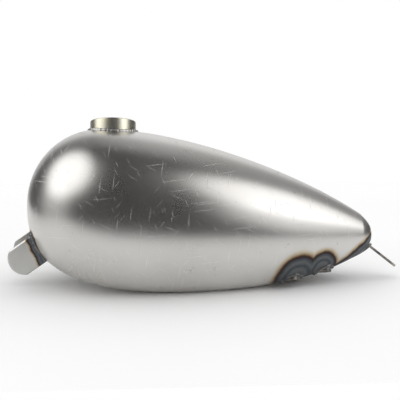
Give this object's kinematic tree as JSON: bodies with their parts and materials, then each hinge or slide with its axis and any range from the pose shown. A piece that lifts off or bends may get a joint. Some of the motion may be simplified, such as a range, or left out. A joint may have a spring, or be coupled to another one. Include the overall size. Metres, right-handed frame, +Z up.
{
  "type": "motorcycle fuel tank",
  "caption": "Bare-steel teardrop motorcycle fuel tank with an open filler neck, frame tunnel, front mounting ears, rear tab and threaded bungs.",
  "frame": {"origin": "under the middle of the tank, on the level its two bottom lobes stand on", "axes": "+X towards the tail, +Y to the rider's right, +Z up"},
  "size_m": [0.4868, 0.22, 0.2058],
  "materials": {
    "bare_steel": "satin bare sheet with fine scratches and heat tint near the welds",
    "machined_steel": "turned, slightly heat-tinted",
    "plate_steel": "mill finish flat bar",
    "weld_bead": "heat-darkened rippled weld"
  },
  "bodies": {
    "root": {"centre_seam_weld": "weld_bead", "crossover_bung_left": "machined_steel", "crossover_bung_right": "machined_steel", "crossover_bung_weld_left": "weld_bead", "crossover_bung_weld_right": "weld_bead", "filler_neck": "machined_steel", "filler_neck_weld": "weld_bead", "front_ear_left": "plate_steel", "front_ear_right": "plate_steel", "front_ear_weld_left": "weld_bead", "front_ear_weld_right": "weld_bead", "left_shell": "bare_steel", "petcock_bung": "machined_steel", "petcock_bung_weld": "weld_bead", "rear_tab": "plate_steel", "rear_tab_weld": "weld_bead", "right_shell": "bare_steel", "tunnel": "bare_steel", "tunnel_weld_left": "weld_bead", "tunnel_weld_right": "weld_bead"}
  },
  "joints": []
}
